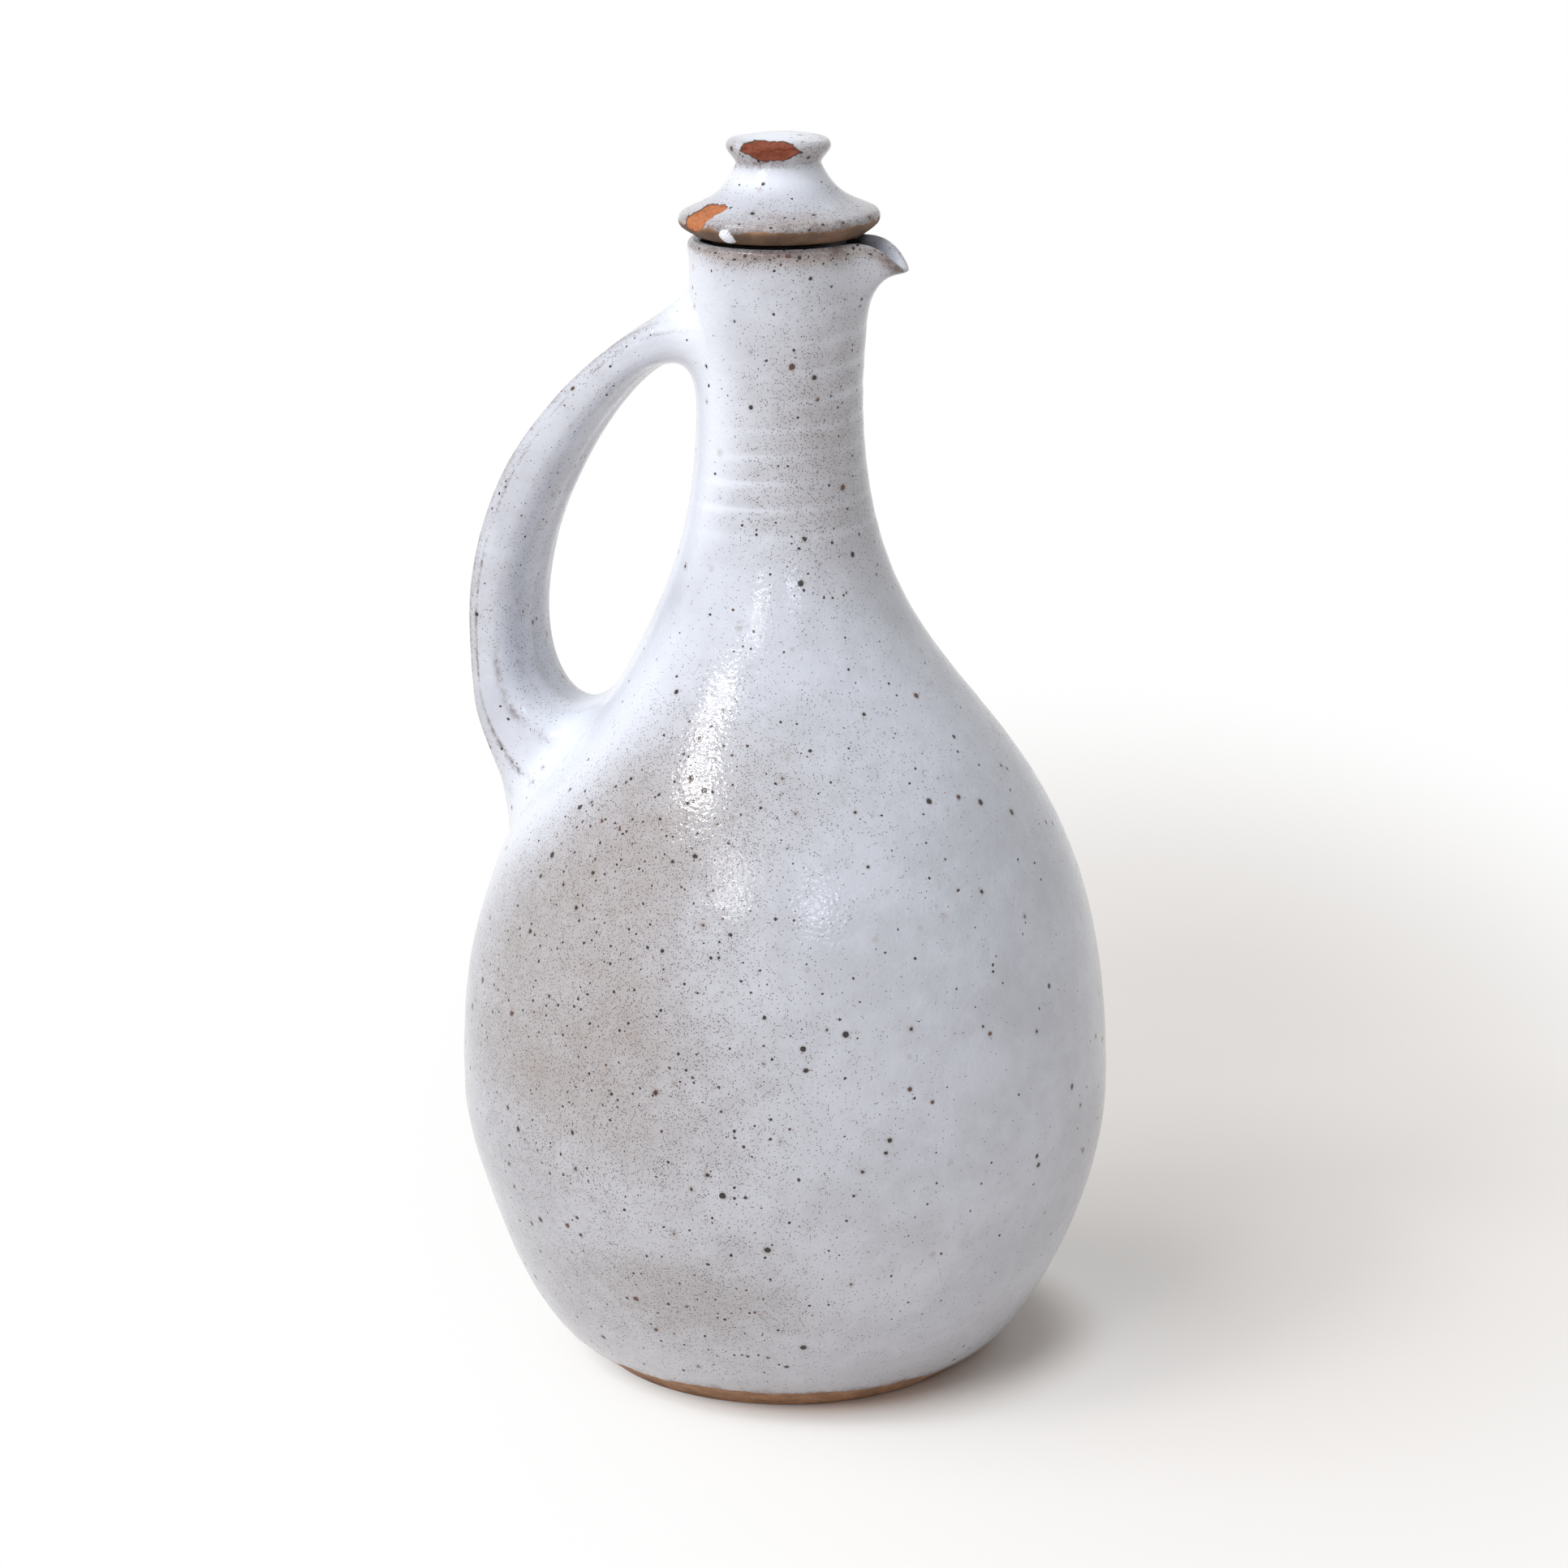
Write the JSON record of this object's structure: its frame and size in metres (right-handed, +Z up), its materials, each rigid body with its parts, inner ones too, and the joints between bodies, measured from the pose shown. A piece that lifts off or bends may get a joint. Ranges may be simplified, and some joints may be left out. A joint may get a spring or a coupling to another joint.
{
  "type": "stoppered stoneware pitcher",
  "caption": "Bottle-shaped stoneware pitcher with a pulled strap handle, a small pinched spout and a loose knobbed stopper, in speckled white glaze.",
  "frame": {"origin": "centre of the flat base, on the pot's axis, on the surface that it stands on", "axes": "+Z up the pot's axis, +X towards the spout, -X towards the handle"},
  "size_m": [0.169, 0.169, 0.3205],
  "materials": {
    "speckled_glaze": "satin gloss white glaze with iron specks over brown stoneware",
    "stopper_glaze": "the same white glaze, chipped in two places, bare brown clay under the brim"
  },
  "bodies": {
    "pitcher": {"vessel_body": "speckled_glaze", "neck_section": "speckled_glaze", "strap_handle": "speckled_glaze"},
    "stopper": {"stopper": "stopper_glaze"}
  },
  "joints": [
    {"name": "stopper_lift", "type": "slide", "parent": "pitcher", "child": "stopper", "axis": [0, 0, 1], "range_m": [0, 0.08]}
  ]
}
